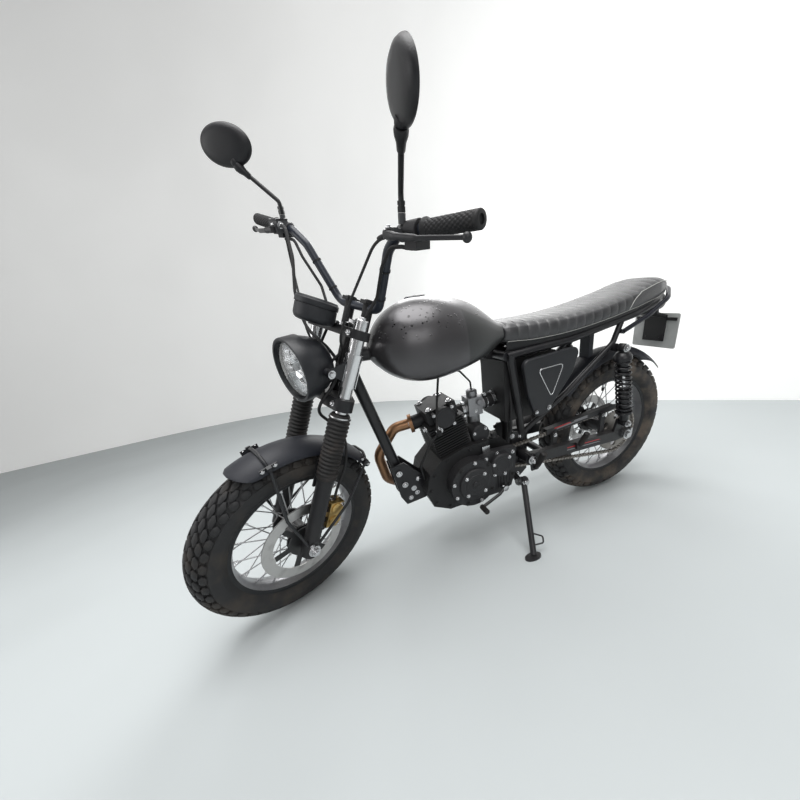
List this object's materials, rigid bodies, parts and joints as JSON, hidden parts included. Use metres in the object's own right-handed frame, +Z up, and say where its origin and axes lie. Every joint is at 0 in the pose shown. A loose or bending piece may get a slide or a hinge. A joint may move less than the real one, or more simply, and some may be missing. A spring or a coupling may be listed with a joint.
{
  "type": "motorcycle",
  "caption": "Small air-cooled scrambler motorcycle with wire wheels, brat seat, high bar, round headlight and side stand, parked leaning with its steering on the left stop.",
  "frame": {"origin": "on the floor under the middle of the parked machine's bounding box", "axes": "+X the way the machine rides, +Y to the rider's left, +Z up"},
  "size_m": [1.9484, 0.8892, 1.438],
  "materials": {
    "black_paint": "satin black",
    "engine": "painted black",
    "chrome": "polished",
    "plastic": "matt",
    "header": "heat tinted",
    "silencer": "satin black",
    "tank": "matt graphite",
    "seat": "satin",
    "caliper": "bronze anodised",
    "chain": "oily",
    "tail_red": "translucent red",
    "plate": "blank",
    "rubber": "matt",
    "mirror_shell": "gloss black",
    "gauge": "dark grey",
    "lens": "clear",
    "tyre": "matt, dusty",
    "rim": "black outside, polished inside",
    "spoke": "satin",
    "disc": "ground",
    "sprocket": "oily"
  },
  "bodies": {
    "chassis": {"frame": "black_paint", "crankcase": "engine", "engine_covers": "engine", "cylinder": "engine", "cylinder_head": "engine", "carburettor": "chrome", "airbox": "plastic", "exhaust_header": "header", "silencer": "silencer", "fuel_tank": "tank", "fuel_cap": "chrome", "seat": "seat", "side_covers": "plastic", "swingarm": "black_paint", "rear_axle": "chrome", "rear_brake_caliper": "caliper", "drive_chain": "chain", "chain_guard": "plastic", "shock_absorbers": "black_paint", "rear_mudguard": "plastic", "grab_rail": "black_paint", "tail_bracket": "black_paint", "tail_lamp": "tail_red", "number_plate": "plate", "reflector": "tail_red", "footpegs": "rubber", "gear_lever": "black_paint", "brake_pedal": "black_paint"},
    "steering": {"fork_stanchions": "chrome", "fork_lowers": "black_paint", "front_axle": "chrome", "fork_gaiters": "rubber", "lower_yoke": "black_paint", "upper_yoke": "black_paint", "handlebar": "black_paint", "handlebar_grips": "rubber", "hand_controls": "plastic", "hand_levers": "black_paint", "mirrors": "mirror_shell", "headlight_shell": "gauge", "headlight_lens": "lens", "headlight_brackets": "black_paint", "gauge": "gauge", "front_mudguard": "plastic", "front_brake_caliper": "caliper", "front_brake_hose": "rubber", "control_cables": "rubber"},
    "front_wheel": {"front_tyre": "tyre", "front_rim": "rim", "front_hub_and_spokes": "spoke", "front_brake_disc": "disc"},
    "rear_wheel": {"rear_tyre": "tyre", "rear_rim": "rim", "rear_hub_and_spokes": "spoke", "rear_sprocket": "sprocket", "rear_brake_disc": "disc"},
    "side_stand": {"side_stand": "black_paint"}
  },
  "joints": [
    {"name": "steering_turn", "type": "hinge", "parent": "chassis", "child": "steering", "pos_m": [0.40213, -0.10812, 0.7803], "axis": [0.4345, -0.1331, -0.8908], "range_deg": [0, 56]},
    {"name": "front_wheel_spin", "type": "hinge", "parent": "steering", "child": "front_wheel", "pos_m": [0.68633, -0.1559, 0.2974], "axis": [-0.4228, 0.8431, -0.3323], "continuous": true},
    {"name": "rear_wheel_spin", "type": "hinge", "parent": "chassis", "child": "rear_wheel", "pos_m": [-0.65822, -0.17792, 0.31322], "axis": [0, 0.989, -0.1478], "continuous": true},
    {"name": "side_stand_fold", "type": "hinge", "parent": "chassis", "child": "side_stand", "pos_m": [-0.15346, -0.05963, 0.23876], "axis": [0.0659, 0.8728, 0.4836], "range_deg": [0, 92]}
  ]
}
